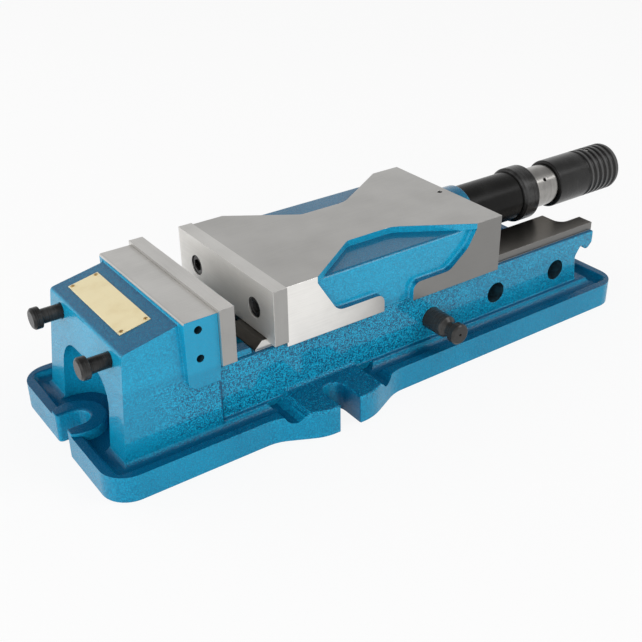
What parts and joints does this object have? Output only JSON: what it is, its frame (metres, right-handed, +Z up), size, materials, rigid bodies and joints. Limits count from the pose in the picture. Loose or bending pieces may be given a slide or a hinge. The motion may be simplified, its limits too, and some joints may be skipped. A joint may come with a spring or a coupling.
{
  "type": "hydraulic machine vise",
  "caption": "Long cast machine vise with a fixed jaw, a sliding jaw over ground rails, a range pin, and a hydraulic booster spindle with a ribbed grip.",
  "frame": {"origin": "middle of the base flange's underside", "axes": "+X from the fixed jaw to the spindle grip, +Y to the side away from the range pin's head, +Z up"},
  "size_m": [0.6448, 0.234, 0.1313],
  "materials": {
    "blue_paint": "hammered blue paint on cast iron",
    "ground_steel": "ground",
    "black_oxide": "black oxide, satin",
    "bright_steel": "turned",
    "bronze": "turned bronze",
    "plate_enamel": "cream enamel, bare",
    "seal_rubber": "smooth"
  },
  "bodies": {
    "base": {"vise_body": "blue_paint", "fixed_jaw_plate": "ground_steel", "fixed_plate_screws": "black_oxide", "nameplate": "plate_enamel", "nameplate_rivets": "bronze", "lifting_pins": "black_oxide", "nut_block": "blue_paint", "spindle_nut": "bronze", "nut_screws": "black_oxide"},
    "jaw": {"movable_jaw": "ground_steel", "movable_jaw_plate": "ground_steel", "movable_plate_screws": "black_oxide", "hold_down_straps": "black_oxide", "strap_screws": "black_oxide", "thrust_pad": "bright_steel", "spindle_keepers": "black_oxide", "keeper_screws": "black_oxide", "ball_oiler": "bronze"},
    "spindle": {"screw_spindle": "bright_steel", "booster_barrel": "black_oxide", "collar_nut": "black_oxide", "pressure_sleeve": "bright_steel", "sleeve_grub_screw": "black_oxide", "head_seal": "seal_rubber", "return_springs": "bright_steel"},
    "ram": {"push_rod": "bright_steel", "ram_piston": "bright_steel", "ram_seal": "seal_rubber"},
    "small_piston": {"plunger": "bright_steel", "plunger_seal": "seal_rubber"},
    "grip": {"ribbed_grip": "black_oxide", "drive_screw": "bright_steel", "grip_pin": "bright_steel", "clutch_balls": "bright_steel", "clutch_spring": "bright_steel"},
    "pin": {"range_pin": "black_oxide"}
  },
  "joints": [
    {"name": "jaw_slide", "type": "slide", "parent": "base", "child": "jaw", "axis": [1, 0, 0], "range_m": [-0.036, 0.064]},
    {"name": "spindle_turn", "type": "hinge", "parent": "jaw", "child": "spindle", "pos_m": [0.1635, 0, 0.103], "axis": [1, 0, 0], "range_deg": [-2160, 3840]},
    {"name": "grip_turn", "type": "hinge", "parent": "small_piston", "child": "grip", "pos_m": [0.3135, 0, 0.103], "axis": [-1, 0, 0], "range_deg": [0, 1440]},
    {"name": "piston_press", "type": "slide", "parent": "spindle", "child": "small_piston", "axis": [-1, 0, 0], "range_m": [0, 0.012]},
    {"name": "ram_push", "type": "slide", "parent": "spindle", "child": "ram", "axis": [-1, 0, 0], "range_m": [0, 0.0012], "deforming": ["return_springs"]},
    {"name": "pin_pull", "type": "slide", "parent": "base", "child": "pin", "axis": [0, -1, 0], "range_m": [0, 0.101]}
  ],
  "couplings": [
    {"joint": "spindle_turn", "follows": "jaw_slide", "rad_per_m": 1047.2},
    {"joint": "piston_press", "follows": "grip_turn", "m_per_rad": 0.00047746},
    {"joint": "ram_push", "follows": "grip_turn", "m_per_rad": 0.000047614}
  ]
}
